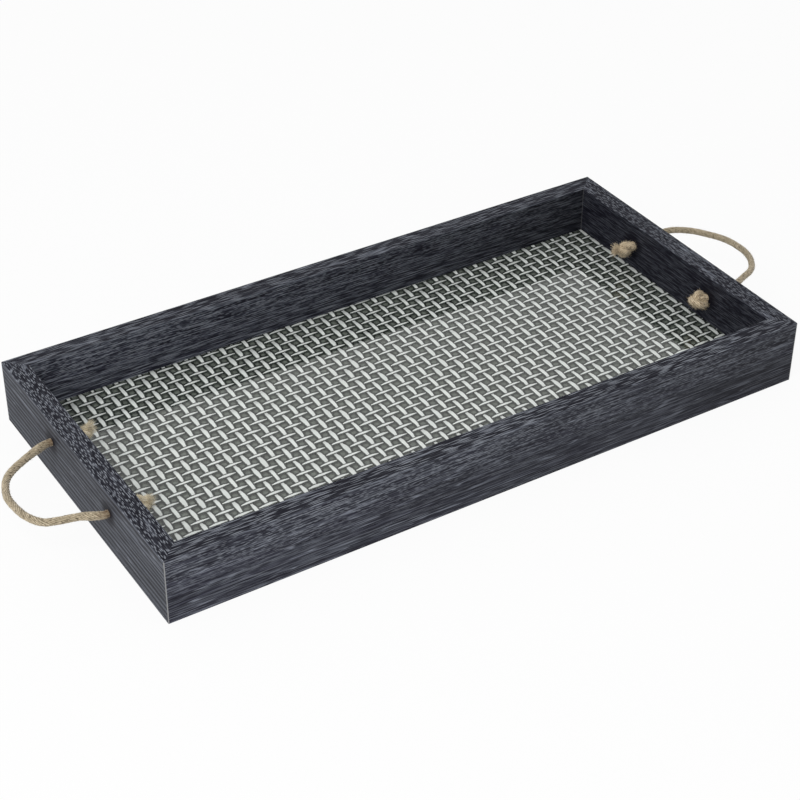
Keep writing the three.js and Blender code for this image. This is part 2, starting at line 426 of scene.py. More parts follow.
def loopLine(name):
    handle = handles[name]
    side = handle["side"]
    lean = math.radians(handle["droop"])
    pivot = rope["pivotOut"]

    def world(out, y):
        x = rope["railOut"] + pivot + (out - pivot) * math.cos(lean)
        return Vector((side * x, y, rope["holeHeight"] - (out - pivot) * math.sin(lean)))

    half = rope["holeHalfSpacing"]
    front = [world(out * mm, -(half - inset * mm)) for out, inset in loopRoutes[name + "Front"]]
    back = [world(out * mm, half - inset * mm) for out, inset in loopRoutes[name + "Back"]]
    inside = [-rope["legInside"], -rope["legMiddle"], 0.0]

    def leg(y):
        return [Vector((side * (rope["railOut"] + x), y, rope["holeHeight"])) for x in inside]

    start = leg(-half) + [world(pivot, -half)]
    end = leg(half) + [world(pivot, half)]
    return start + front + back[::-1] + end[::-1]


def knotLine(name, place):
    handle = handles[name]
    side = handle["side"]
    turn = math.radians(handle["turns"][place])
    across = 1 if (name == "left") == (place == "front") else -1
    wall = rope["railThickness"]
    local = [(0.0, depth, 0.0) for depth in rope["knotLeg"]]
    for i, (into, aside, up) in enumerate(knotRoute):
        share = min(1.0, i / rope["knotEasesOver"])
        sideways = aside * mm + rope["knotShift"][0] * share
        upward = up * mm + rope["knotShift"][1] * share
        lx = math.cos(turn) * sideways - math.sin(turn) * upward
        lz = math.sin(turn) * sideways + math.cos(turn) * upward
        lz -= handle["knotDrop"] * share
        local.append((lx, wall + into * rope["knotSqueeze"] * mm, lz))
    for into, aside, up in handle["tails"][place]:
        local.append((aside * mm, wall + into * mm, up * mm))
    line = []
    for lx, ly, lz in local:
        y = side * (lx + across * rope["holeHalfSpacing"])
        line.append(Vector((side * (rope["railOut"] - ly), y, lz + rope["holeHeight"])))
    return line


def ropeFrames(line):
    tangents = []
    for i in range(len(line)):
        ahead = line[min(i + 1, len(line) - 1)]
        behind = line[max(i - 1, 0)]
        tangents.append((ahead - behind).normalized())
    sides = [tangents[0].orthogonal().normalized()]
    for before, after in zip(tangents, tangents[1:]):
        carried = before.rotation_difference(after) @ sides[-1]
        sides.append((carried - after * carried.dot(after)).normalized())
    return tangents, sides


def twistedRope(name, line, radiusAt, soilAt, seed):
    across = rope["facesPerYarn"]
    around = rope["yarns"] * across
    girth = math.pi * rope["diameter"]
    tangents, sides = ropeFrames(line)
    total = lengthOf(line)
    travelled = 0.0
    verts = []
    runs = []
    marks = {"groove": [], "tone": [], "soil": []}
    for i, point in enumerate(line):
        if i:
            travelled += (point - line[i - 1]).length
        other = tangents[i].cross(sides[i])
        turn = math.tau * travelled / rope["lay"]
        runs.append(travelled)
        for j in range(around):
            angle = math.tau * j / around + turn
            bulge = math.sin(math.pi * (j % across) / across) ** rope["yarnRoundness"]
            yarn = j // across
            drift = noise.noise(Vector((
                yarn * yarnNoise["sizeStep"] + seed, travelled * yarnNoise["sizePerMetre"],
                seed * yarnNoise["sizeSeed"])))
            tone = noise.noise(Vector((
                yarn * yarnNoise["toneStep"] + seed, travelled * yarnNoise["tonePerMetre"],
                yarnNoise["toneLayer"])))
            radius = radiusAt(travelled, total) * (1 - rope["grooveDepth"] * (1 - bulge))
            radius *= 1 + rope["unevenness"] * drift
            verts.append(point + (sides[i] * math.cos(angle) + other * math.sin(angle)) * radius)
            marks["groove"].append(1 - bulge)
            marks["tone"].append(0.5 + 0.5 * tone)
            marks["soil"].append(soilAt(travelled, total))
    faces = []
    corners = []
    for i in range(len(line) - 1):
        v0 = runs[i] / girth
        v1 = runs[i + 1] / girth
        for j in range(around):
            k = (j + 1) % around
            faces.append((i * around + j, i * around + k, (i + 1) * around + k, (i + 1) * around + j))
            u0 = j / around
            u1 = (j + 1) / around
            corners.extend([(u0, v0), (u1, v0), (u1, v1), (u0, v1)])
    for ring, flip in ((0, True), (len(line) - 1, False)):
        centre = len(verts)
        verts.append(line[ring])
        for values in marks.values():
            values.append(0.5)
        v = runs[ring] / girth
        for j in range(around):
            a = ring * around + j
            b = ring * around + (j + 1) % around
            faces.append((b, a, centre) if flip else (a, b, centre))
            corners.extend([(j / around, v), ((j + 1) / around, v), ((j + 0.5) / around, v + 0.1)])
    mesh = bpy.data.meshes.new(name)
    mesh.from_pydata(verts, [], faces)
    chart = mesh.uv_layers.new(name="ropeChart")
    chart.data.foreach_set("uv", [value for corner in corners for value in corner])
    for label, values in marks.items():
        layer = mesh.attributes.new(label, "FLOAT", "POINT")
        layer.data.foreach_set("value", values)
    mesh.shade_smooth()
    return mesh


fray = {
    "strands": 300,
    "length": 6.5 * mm,
    "lengthRange": (0.45, 1.1),
    "spread": 0.8,
    "spreadRange": (0.3, 1.3),
    "thickness": 0.2 * mm,
    "taper": 0.75,
    "joints": 4,
    "corners": 3,
    "rimShare": 0.9,
    "root": 1.2 * mm,
    "curl": 0.35,
    "sag": (-1.2, 0.6),
    "shades": (0.35, 1.0),
    "chartReach": 5,
}


def frayedTail(mesh, tip, along, radius, seed):
    dice = random.Random(seed)
    shape = bmesh.new()
    shape.from_mesh(mesh)
    tone = shape.verts.layers.float["tone"]
    chart = shape.loops.layers.uv["ropeChart"]
    side = along.orthogonal().normalized()
    other = along.cross(side)
    corners = fray["corners"]
    for strand in range(fray["strands"]):
        angle = dice.uniform(0, math.tau)
        reach = math.sqrt(dice.random()) * fray["rimShare"]
        outward = side * math.cos(angle) + other * math.sin(angle)
        start = tip - along * fray["root"] + outward * radius * reach
        splay = fray["spread"] * reach * dice.uniform(*fray["spreadRange"])
        lean = (along + outward * splay).normalized()
        curl = Vector((dice.uniform(-1, 1), dice.uniform(-1, 1), dice.uniform(*fray["sag"]))) * fray["curl"]
        length = fray["length"] * dice.uniform(*fray["lengthRange"])
        shade = dice.uniform(*fray["shades"])
        rings = []
        for k in range(fray["joints"]):
            share = k / (fray["joints"] - 1)
            centre = start + lean * length * share + curl * length * share * share
            width = fray["thickness"] * (1.0 - fray["taper"] * share)
            ring = []
            for corner in range(corners):
                spoke = math.tau * corner / corners
                vert = shape.verts.new(centre + (side * math.cos(spoke) + other * math.sin(spoke)) * width)
                vert[tone] = shade
                ring.append(vert)
            rings.append(ring)
        made = [shape.faces.new(rings[0][::-1]), shape.faces.new(rings[-1])]
        for low, high in zip(rings, rings[1:]):
            for corner in range(corners):
                after = (corner + 1) % corners
                made.append(shape.faces.new((low[corner], low[after], high[after], high[corner])))
        spot = (dice.random(), dice.uniform(0, fray["chartReach"]))
        for face in made:
            for corner in face.loops:
                corner[chart].uv = spot
    for face in shape.faces:
        face.smooth = True
    shape.to_mesh(mesh)
    shape.free()


# hairs per square metre, on the loops and on the knots
fuzz = {
    "loop": {"Hairs": 260000.0, "Hair length": 1.9 * mm, "Hair radius": 0.05 * mm},
    "knot": {"Hairs": 900000.0, "Hair length": 2.7 * mm, "Hair radius": 0.085 * mm},
    "start": (0, 0, -0.05),
    "middle": (0.1, 0, 0.55),
    "end": (0.5, 0.1, 0.85),
    "taper": 0.8,
    "sizes": (0.35, 1.15),
    "leanFrom": (-1.25, -1.25, -3.1),
    "leanTo": (1.25, 1.25, 3.1),
}


socketKinds = {int: "Int", float: "Float", tuple: "Vector", bpy.types.Material: "Material"}


# the tree gets one named input for each value that will be set on it
def newGrowth(name, values, takesGeometry):
    tree = bpy.data.node_groups.new(name, "GeometryNodeTree")
    tree.interface.new_socket("Geometry", in_out="OUTPUT", socket_type="NodeSocketGeometry")
    if takesGeometry:
        tree.interface.new_socket("Geometry", in_out="INPUT", socket_type="NodeSocketGeometry")
    for label, value in values.items():
        kind = "NodeSocket" + socketKinds[type(value)]
        tree.interface.new_socket(label, in_out="INPUT", socket_type=kind)
    given = tree.nodes.new("NodeGroupInput").outputs
    result = tree.nodes.new("NodeGroupOutput").inputs[0]
    return tree, given, result


def grow(carrier, tree, values):
    modifier = carrier.modifiers.new(tree.name, "NODES")
    modifier.node_group = tree
    for item in tree.interface.items_tree:
        if item.in_out == "INPUT" and item.name in values:
            modifier[item.identifier] = values[item.name]
    view = bpy.context.evaluated_depsgraph_get()
    plain = bpy.data.meshes.new_from_object(
        carrier.evaluated_get(view), preserve_all_data_layers=True, depsgraph=view)
    plain.name = carrier.name
    carrier.modifiers.remove(modifier)
    carrier.data = plain
    return carrier


def geo(tree, kind, links, **settings):
    return step(tree, "GeometryNode" + kind, links, **settings).outputs[0]


def gathered(tree, pieces):
    both = tree.nodes.new("GeometryNodeJoinGeometry")
    for piece in pieces:
        tree.links.new(piece, both.inputs[0])
    return both.outputs[0]


def sweptMesh(tree, curve, section):
    swept = step(tree, "GeometryNodeCurveToMesh", {
        "Curve": curve, "Profile Curve": section, "Fill Caps": True})
    if "Scale" in swept.inputs:
        fill(swept, {"Scale": tree.nodes.new("GeometryNodeInputRadius").outputs[0]})
    return swept.outputs[0]


def ropeFuzzTree(values):
    tree, given, result = newGrowth("ropeFuzz", values, True)
    spread = step(tree, "GeometryNodeDistributePointsOnFaces", {
        "Mesh": given["Geometry"], "Density": given["Hairs"], "Seed": given["Seed"]})
    bend = geo(tree, "CurveQuadraticBezier", {
        "Resolution": 3, "Start": fuzz["start"], "Middle": fuzz["middle"], "End": fuzz["end"]})
    longBend = geo(tree, "Transform", {"Geometry": bend, "Scale": joined(*[given["Hair length"]] * 3)})
    along = tree.nodes.new("GeometryNodeSplineParameter").outputs["Factor"]
    thinning = geo(tree, "SetCurveRadius", {
        "Curve": longBend, "Radius": inverse(times(along, fuzz["taper"]))})
    section = geo(tree, "CurvePrimitiveCircle", {"Resolution": 3, "Radius": given["Hair radius"]})
    hair = sweptMesh(tree, thinning, section)
    size = step(tree, "FunctionNodeRandomValue", {"Seed": given["Seed"]}, data_type="FLOAT")
    fill(size, {2: fuzz["sizes"][0], 3: fuzz["sizes"][1]})
    planted = geo(tree, "InstanceOnPoints", {
        "Points": spread.outputs["Points"], "Instance": hair,
        "Rotation": spread.outputs["Rotation"], "Scale": size.outputs[1]})
    lean = step(tree, "FunctionNodeRandomValue", {"Seed": given["Seed"]}, data_type="FLOAT_VECTOR")
    fill(lean, {0: fuzz["leanFrom"], 1: fuzz["leanTo"]})
    leaning = geo(tree, "RotateInstances", {"Instances": planted, "Rotation": lean.outputs[0]})
    real = geo(tree, "RealizeInstances", {"Geometry": leaning})
    hairs = geo(tree, "SetMaterial", {"Geometry": real, "Material": given["Hair finish"]})
    strand = geo(tree, "SetMaterial", {"Geometry": given["Geometry"], "Material": given["Rope finish"]})
    tree.links.new(gathered(tree, [hairs, strand]), result)
    return tree


juteLook = {
    "pale": (0.74, 0.63, 0.46),
    "tan": (0.50, 0.41, 0.275),
    "olive": (0.31, 0.262, 0.17),
    # dark of the real specks, also used as painted shade in the grooves
    "fleckAndGrooveShade": (0.075, 0.052, 0.028),
    "soiled": (0.17, 0.105, 0.055),
}
# painted light: the knots get paler copies of the jute palette, and the left knots paler still, lifting
# knots that lie in the left rail's shadow
knotLooksWithPaintedLight = {
    "left": {
        "pale": (0.97, 0.90, 0.72),
        "tan": (0.90, 0.79, 0.57),
        "olive": (0.70, 0.60, 0.41),
        "fleckAndGrooveShade": (0.26, 0.17, 0.10),
        "soiled": (0.30, 0.19, 0.10),
    },
    "right": {
        "pale": (0.92, 0.78, 0.565),
        "tan": (0.71, 0.575, 0.385),
        "olive": (0.47, 0.375, 0.24),
        "fleckAndGrooveShade": (0.17, 0.105, 0.06),
        "soiled": (0.30, 0.19, 0.10),
    },
}
# noise scales around and along the rope
juteGrain = {
    "fibres": {"scale": (34, 3.2, 1), "detail": 4, "roughness": 0.7},
    "specks": {"scale": (15, 6.5, 1), "detail": 2, "shift": (3, 7, 0)},
    "glints": {"scale": (13, 5, 1), "detail": 2, "shift": (6, 1, 4)},
    "patches": {"scale": (1.5, 0.35, 1), "detail": 2, "shift": (9, 2, 0)},
}
# where a mark starts and is full, and its strength
juteMarks = {
    "fibres": (0.36, 0.64),
    "tan": (0.25, 0.8, 0.7),
    "worn": (0.45, 0.75, 0.35),
    "lit": (0.54, 0.66, 0.75),
    "dark": (0.53, 0.64, 0.75),
    "paintedGrooveShade": (0.3, 1.0, 0.7),
    "soil": (0.3, 0.6),
    "hair": (0.4, 0.6),
}


def juteFinish(name, look):
    finish, tree, shader = newFinish(name)
    chart = step(tree, "ShaderNodeUVMap", {}, uv_map="ropeChart").outputs["UV"]
    grain = {label: grainNoise(chart, **sizes) for label, sizes in juteGrain.items()}

    def mark(label, value):
        return marked(value, *juteMarks[label])

    soil = times(attribute(tree, "soil"), mark("soil", grain["specks"]))
    colour = blended(mark("fibres", grain["fibres"]), look["olive"], look["pale"])
    colour = layered(colour, [
        (mark("tan", attribute(tree, "tone")), look["tan"]),
        (mark("worn", grain["patches"]), look["olive"]),
        (mark("lit", grain["glints"]), look["pale"]),
        (mark("dark", grain["specks"]), look["fleckAndGrooveShade"]),
        # painted shade: the grooves between the yarns are darkened in colour, with the same dark as the real
        # specks
        (mark("paintedGrooveShade", attribute(tree, "groove")), look["fleckAndGrooveShade"]),
        (soil, look["soiled"]),
    ])
    fill(shader, {
        "Base Color": colour,
        "Roughness": scaled(grain["fibres"], 0.25, 0.7),
        "Sheen Weight": 0.25,
        "Sheen Roughness": 0.6,
        "Specular IOR Level": 0.2,
        "Normal": bumped(grain["fibres"], strength=0.6, distance=0.35 * mm),
    })
    return finish


def juteHairFinish(name, look):
    finish, tree, shader = newFinish(name)
    spots = grainNoise(objectCoords(tree), (420, 420, 420), detail=2)
    fill(shader, {
        "Base Color": blended(marked(spots, *juteMarks["hair"]), look["tan"], look["pale"]),
        "Roughness": scaled(spots, 0.2, 0.65),
        "Specular IOR Level": 0.25,
    })
    return finish


loopFinishes = (juteFinish("twistedJute", juteLook), juteHairFinish("looseJuteFibre", juteLook))
knotFinishesWithPaintedLight = {}
for handleName, look in knotLooksWithPaintedLight.items():
    knotFinishesWithPaintedLight[handleName] = (
        juteFinish(handleName + "KnottedJuteWithPaintedLight", look), juteHairFinish(handleName + "KnotFibreWithPaintedLight", look))


def fuzzValues(kind, seed, finishes):
    return {**fuzz[kind], "Seed": seed, "Rope finish": finishes[0], "Hair finish": finishes[1]}


fuzzTree = ropeFuzzTree(fuzzValues("loop", 0, loopFinishes))


def buildHandle(name):
    handle = handles[name]
    side = handle["side"]
    line = evenRoute(smoothRoute(loopLine(name)), rope["step"])

    def fromRail(travelled, total):
        return min(travelled, total - travelled) - rope["legInside"]

    def loopRadius(travelled, total):
        away = fromRail(travelled, total) - rope["swellAt"]
        swell = math.exp(-(away / rope["swellReach"]) ** 2)
        return rope["diameter"] / 2 * handle["thicker"] * (1 + handle["swellAtExit"] * swell)

    def loopSoil(travelled, total):
        away = max(fromRail(travelled, total), 0)
        return handle["soil"] * math.exp(-(away / rope["soilReach"]) ** 2)

    knotRadius = rope["knotDiameter"] / 2
    knots = []
    for place in ("front", "back"):
        knotRun = evenRoute(smoothRoute(knotLine(name, place)), rope["step"])
        seed = handle["seed"] + len(knots)
        mesh = twistedRope(name + "Knot", knotRun, lambda *at: knotRadius, lambda *at: 0.0, seed)
        along = (knotRun[-1] - knotRun[-3]).normalized()
        frayedTail(mesh, knotRun[-1], along, knotRadius, seed)
        pieceName = name + "RopeKnot" + place.capitalize()
        knot = grow(meshObject(pieceName, mesh), fuzzTree, fuzzValues("knot", seed, knotFinishesWithPaintedLight[name]))
        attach(knot, "tray")
        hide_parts(name + "_rope_knot_" + place)
        knots.append(knot)
    loopMesh = twistedRope(name + "Loop", line, loopRadius, loopSoil, handle["seed"])
    hairs = fuzzValues("loop", handle["seed"], loopFinishes)
    loop = grow(meshObject(name + "RopeLoop", loopMesh), fuzzTree, hairs)
    rail = rope["railOut"]
    height = rope["holeHeight"]
    start = (side * (rail + rope["bendsFrom"]), 0, height)
    end = (side * (rail + rope["bendsTo"]), 0, height)
    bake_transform(loop, "tray", name + "_handle", start=start, end=end)
    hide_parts(name + "_rope_loop")


for handleName in handles:
    buildHandle(handleName)

# Wooden rails: dark stain, brushed grain, pale pores
woodSizes = {
    "halfLength": 305 * mm,
    "halfWidth": 152.5 * mm,
    "innerHalfLength": 287 * mm,
    "innerHalfWidth": 134.5 * mm,
    "height": 60 * mm,
}
woodLook = {
    "deep": (0.0058, 0.0055, 0.0108),
    "navy": (0.0235, 0.0235, 0.037),
    "slate": (0.0355, 0.0385, 0.0505),
    "endFace": (0.057, 0.063, 0.0735),
    "streak": (0.185, 0.20, 0.24),
    "pore": (0.345, 0.37, 0.42),
    "core": (0.30, 0.30, 0.30),
    "shine": 0.12,
    "endFaceShare": 0.8,
    "topShade": 0.76,
    "outsideHollows": 0.6,
    "outsideDashes": 0.06,
    "insideTicks": 0.8,
    "crackShare": 0.8,
    "wavyWidth": 0.014,
    "thinWidth": 0.028,
    "cellEdge": (0.31, 0.14),
    # how fast the long rails' faces darken towards +x: painted light falloff
    "outsideLightFalloff": -1.1,
    "insideLightFalloff": -0.6,
    "lineRelief": 0.7,
    "poreRelief": 0.5,
}
# the end rails' outer faces show the planer's waves
planing = {
    "pitch": 4.8 * mm,
    "grain": {"along": 3, "across": 40, "detail": 1, "shift": (8, 3, 2)},
    "sway": 14.0,
    "crest": (0.3, 0.95, 0.3),
    "trough": (-0.1, -0.95, 0.66),
}
# noise scales per metre, along and across the grain
woodGrain = {
    "broad": {"along": 6, "across": 90, "detail": 3, "warp": 0.7},
    "bands": {"along": 4, "across": 430, "detail": 2, "shift": (5, 2, 8), "warp": 0.4},
    "lines": {"along": 9, "across": 900, "detail": 1, "shift": (4.2, 1.3, 7.2), "warp": 0.2},
    "wavy": {"along": 5, "across": 150, "detail": 1, "shift": (9, 4, 1), "warp": 0.6},
    "thin": {"along": 8, "across": 300, "detail": 0, "shift": (2, 9, 6), "warp": 0.3},
    "pores": {"along": 42, "across": 1300, "detail": 1, "shift": (1, 8, 3)},
    "dashes": {"along": 95, "across": 1100, "detail": 1, "shift": (3.4, 6.5, 4.4)},
    "patches": {"along": 16, "across": 45, "detail": 2, "shift": (2, 5, 9)},
    "breaks": {"along": 34, "across": 210, "detail": 1, "shift": (7, 7, 2)},
}
# a mark's noise, where it starts and is full, and its strength
woodMarks = {
    "tone": ("broad", 0.3, 0.7),
    "bands": ("bands", 0.5, 0.6, 0.5),
    "darkLines": ("lines", 0.5, 0.4, 0.8),
    "paleLines": ("lines", 0.54, 0.62),
    "rimLines": ("lines", 0.4, 0.65, 0.32),
    "hollows": ("dashes", 0.45, 0.36, 0.6),
    "dashes": ("dashes", 0.52, 0.6),
    "breaks": ("breaks", 0.4, 0.58, 0.8),
    "pores": ("pores", 0.57, 0.66, 0.22),
    "porePatches": ("patches", 0.3, 0.65),
    "tickPatches": ("patches", 0.1, 0.55, 0.33),
    "fleckPatches": ("patches", 0.0, 0.5, 0.8),
}
# how far from a face, an edge or the table a mark starts and is full, and its strength
woodPlaces = {
    "onTop": (0.9 * mm, 0.2 * mm),
    "onFace": (0.9 * mm, 0.3 * mm),
    "rim": (1.2 * mm, 0.3 * mm),
    "outerCorner": (0.95 * mm, 0.35 * mm, 0.8),
    "innerCorner": (0.75 * mm, 0.25 * mm, 0.3),
    "hole": (16 * mm, 5 * mm, 0.95),
    "nickedTop": (38 * mm, 52 * mm),
    "brushedTop": (14 * mm, 48 * mm),
}
# separate marks: cells per metre along and across the grain
woodCells = {"scratches": (22, 820), "nicks": (9, 740), "ticks": (120, 560), "cracks": (38, 510)}
longRails = {
    "alongX": True,
    "flecks": (42, 820),
    "fleckFade": (-0.9, 0.85),
    "insideShade": 0.0,
    "insideDashes": 0.2,
    "insideScratches": 0.4,
    "paleLines": 0.17,
    "nicks": 0.2,
}
endRails = {
    "alongX": False,
    "flecks": (118, 820),
    "fleckFade": (-0.6, 0.8),
    "insideShade": 0.76,
    "insideDashes": 0.1,
    "insideScratches": 0.16,
    "paleLines": 0.32,
    "nicks": 0.05,
}


def woodFinish(name, rails):
    finish, tree, shader = newFinish(name)
    coords = objectCoords(tree)
    x, y, z = split(coords)
    alongX = rails["alongX"]
    along, across = (x, y) if alongX else (y, x)

    def grained(along, across, **settings):
        scale = (along, across, across) if alongX else (across, along, across)
        return grainNoise(coords, scale, **settings)

    grain = {label: grained(**sizes) for label, sizes in woodGrain.items()}

    def mark(label):
        cloud, *levels = woodMarks[label]
        return marked(grain[cloud], *levels)

    def near(label, distance):
        return marked(distance, *woodPlaces[label])

    def flecked(perMetre, crossing):
        spot = joined(times(along, perMetre[0]), times(crossing, perMetre[1]), 0.0)
        cells = step(tree, "ShaderNodeTexVoronoi", {}, voronoi_dimensions="2D")
        fill(cells, {"Vector": spot, "Scale": 1.0})
        return between(cells.outputs["Distance"], *woodLook["cellEdge"])

    def ridge(label):
        fromMiddle = sums("ABSOLUTE", minus(grain[label], 0.5))
        return between(fromMiddle, woodLook[label + "Width"], 0.0)

    absX = sums("ABSOLUTE", x)
    absY = sums("ABSOLUTE", y)
    outX = minus(woodSizes["halfLength"], absX)
    outY = minus(woodSizes["halfWidth"], absY)
    inX = minus(absX, woodSizes["innerHalfLength"])
    inY = minus(absY, woodSizes["innerHalfWidth"])
    fromTop = minus(woodSizes["height"], z)
    nearOut = sums("MINIMUM", outX, outY)
    nearIn = sums("ABSOLUTE", sums("MAXIMUM", inX, inY))
    onTop = near("onTop", fromTop)
    belowTop = inverse(onTop)
    onInside = times(near("onFace", nearIn), belowTop)
    notInside = inverse(onInside)
    onOutside = near("onFace", nearOut)
    onFace = times(notInside, belowTop)
    lessHollow = inverse(times(onOutside, woodLook["outsideHollows"]))
    dashShare = scaled(onInside, rails["insideDashes"], woodLook["outsideDashes"])
    ridges = sums("MAXIMUM", ridge("wavy"), ridge("thin"))
    nicked = plus(near("nickedTop", z), 1.0)
    layers = [
        (mark("bands"), "deep"),
        (mark("darkLines"), "deep"),
        (times(onInside, rails["insideShade"]), "deep"),
        (times(onTop, woodLook["topShade"]), "deep"),
        (times(mark("hollows"), lessHollow), "deep"),
        (times(mark("dashes"), dashShare), "streak"),
        (times(flecked(woodCells["scratches"], z), onInside, rails["insideScratches"]), "pore"),
        (times(mark("paleLines"), onFace, rails["paleLines"]), "streak"),
        (times(ridges, mark("breaks"), notInside), "streak"),
        (times(mark("pores"), mark("porePatches"), notInside), "pore"),
        (times(flecked(woodCells["nicks"], z), onFace, rails["nicks"], nicked), "pore"),
    ]
    if alongX:
        cracks = flecked(woodCells["cracks"], z)
        ticks = flecked(woodCells["ticks"], z)
        onWall = scaled(onInside, woodLook["insideTicks"], onFace)
        layers += [
            (times(cracks, onFace, woodLook["crackShare"]), "deep"),
            (times(ticks, onWall, near("brushedTop", z), mark("tickPatches")), "pore"),
        ]
    else:
        sway = times(grained(**planing["grain"]), planing["sway"])
        planed = sums("SINE", scaled(z, math.tau / planing["pitch"], sway))
        layers.insert(0, (times(onOutside, woodLook["endFaceShare"]), "endFace"))
        layers += [
            (times(marked(planed, *planing["crest"]), onOutside), "streak"),
            (times(marked(planed, *planing["trough"]), onOutside), "deep"),
        ]
    flecks = flecked(rails["flecks"], across)
    fading = scaled(across, *rails["fleckFade"])
    layers.append((times(flecks, onTop, mark("fleckPatches"), fading), "pore"))
    if not alongX:
        aside = minus(absY, rope["holeHalfSpacing"])
        fromHole = joined(0.0, aside, minus(z, rope["holeHeight"]))
        away = sums("SQRT", vectors("DOT_PRODUCT", fromHole, fromHole))
        layers.append((near("hole", away), "deep"))
    toRim = sums("MAXIMUM", fromTop, sums("MINIMUM", nearOut, nearIn))
    toCorner = sums("MAXIMUM", outX, outY)
    toInner = sums("MAXIMUM", sums("ABSOLUTE", inX), sums("ABSOLUTE", inY))
    layers += [
        (times(near("rim", toRim), mark("rimLines")), "streak"),
        (near("outerCorner", toCorner), "core"),
        (near("innerCorner", toInner), "core"),
    ]
    colour = blended(mark("tone"), woodLook["navy"], woodLook["slate"])
    colour = layered(colour, [(share, woodLook[shade]) for share, shade in layers])
    # painted light: below the top, the long rails' faces darken towards +x, standing in for the falloff of a
    # light on the left
    if alongX:
        drift = scaled(onInside, woodLook["insideLightFalloff"], woodLook["outsideLightFalloff"])
        paintedFalloff = scaled(times(drift, belowTop), x, 1.0)
        colour = vectors("SCALE", colour, scale=paintedFalloff)
    poreRelief = times(grain["pores"], woodLook["poreRelief"])
    relief = scaled(grain["lines"], woodLook["lineRelief"], poreRelief)
    fill(shader, {
        "Base Color": colour,
        "Roughness": scaled(grain["lines"], 0.3, 0.45),
        "Specular IOR Level": woodLook["shine"],
        "Normal": bumped(relief, strength=0.5, distance=0.5 * mm),
    })
    return finish


railGlue = {
    "glueShift": 0.2121 * mm,
    "leave": 0.01 * mm,
    "onMitre": 0.03 * mm,
    "weld": 0.004 * mm,
    "flatAngle": math.radians(0.5),
}
longWood = woodFinish("charcoalWoodLong", longRails)
endWood = woodFinish("charcoalWoodEnd", endRails)


def dressedRail(nodeName, alongX, finish):
    shape = bmesh.new()
    shape.from_mesh(cadNodes[nodeName].data)
    bmesh.ops.remove_doubles(shape, verts=shape.verts, dist=railGlue["weld"])
    move = railGlue["glueShift"] - railGlue["leave"]
    for vert in shape.verts:
        outX = woodSizes["halfLength"] - abs(vert.co.x)
        outY = woodSizes["halfWidth"] - abs(vert.co.y)
        off = outX - outY if alongX else outY - outX
        if abs(off - railGlue["glueShift"]) < railGlue["onMitre"]:
            if alongX:
                vert.co.x += math.copysign(move, vert.co.x)
            else:
                vert.co.y += math.copysign(move, vert.co.y)
    bmesh.ops.dissolve_limit(
        shape, angle_limit=railGlue["flatAngle"], verts=shape.verts, edges=shape.edges)
    mesh = bpy.data.meshes.new(nodeName + "Wood")
    shape.to_mesh(mesh)
    shape.free()
    mesh.materials.append(finish)
    rail = meshObject(nodeName + "Wood", mesh)
    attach(rail, "tray")
    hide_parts(nodeName)


for railName in ("front_rail", "back_rail"):
    dressedRail(railName, True, longWood)
for railName in ("left_end_rail", "right_end_rail"):
    dressedRail(railName, False, endWood)
print("rails dressed")

# Woven metal insert: cross strips and long wires, both crimped over and under.
# The weave lies a little askew in the frame, as in the photo.
weave = {
    "pointsPerCrossing": 7,
    "sectionCorners": 8,
    "driftPerBand": 3.7,
    "driftPerMetre": 70.0,
    "toneShift": (17.0, 31.0, 5.0),
    "barDepth": 3.7 * mm,
    "barWidth": 4 * mm,
}
bothWays = {"Height": 10.0 * mm, "Unevenness": 0.9, "Wander": 0.9 * mm}
strips = {
    "Bands": 52,
    "First number": -1,
    "Band spacing": 11.324 * mm,
    "First place": -280.71 * mm,
    "Slope": 0.0135,
    "Bow": 0.0,
    "Reach": 139.5 * mm,
    "Side limit": 290.8 * mm,
    "Band width": 6.4 * mm,
    "Band thickness": 0.75 * mm,
    "Crimp": 0.72 * mm,
    "Bright middle": 0.60,
    "Bright end": 0.36,
    "Run": (0, 1, 0),
    "Across": (1, 0, 0),
    "Seed": 3.0,
    "Bar size": (588 * mm, weave["barWidth"], weave["barDepth"]),
    "Bar place": (0, 139.5 * mm, 0),
}
wires = {
    "Bands": 28,
    "First number": 0,
    "Band spacing": 10.12 * mm,
    "First place": -136.8 * mm,
    "Slope": 0.0191,
    "Bow": -1.1 * mm,
    "Reach": 292 * mm,
    "Side limit": 139.5 * mm,
    "Band width": 5.0 * mm,
    "Band thickness": 0.95 * mm,
    "Crimp": -0.42 * mm,
    "Bright middle": 0.5,
    "Bright end": 0.1,
    "Run": (1, 0, 0),
    "Across": (0, 1, 0),
    "Seed": 8.0,
    "Bar size": (weave["barWidth"], 274 * mm, weave["barDepth"]),
    "Bar place": (292 * mm, 0, 0),
}


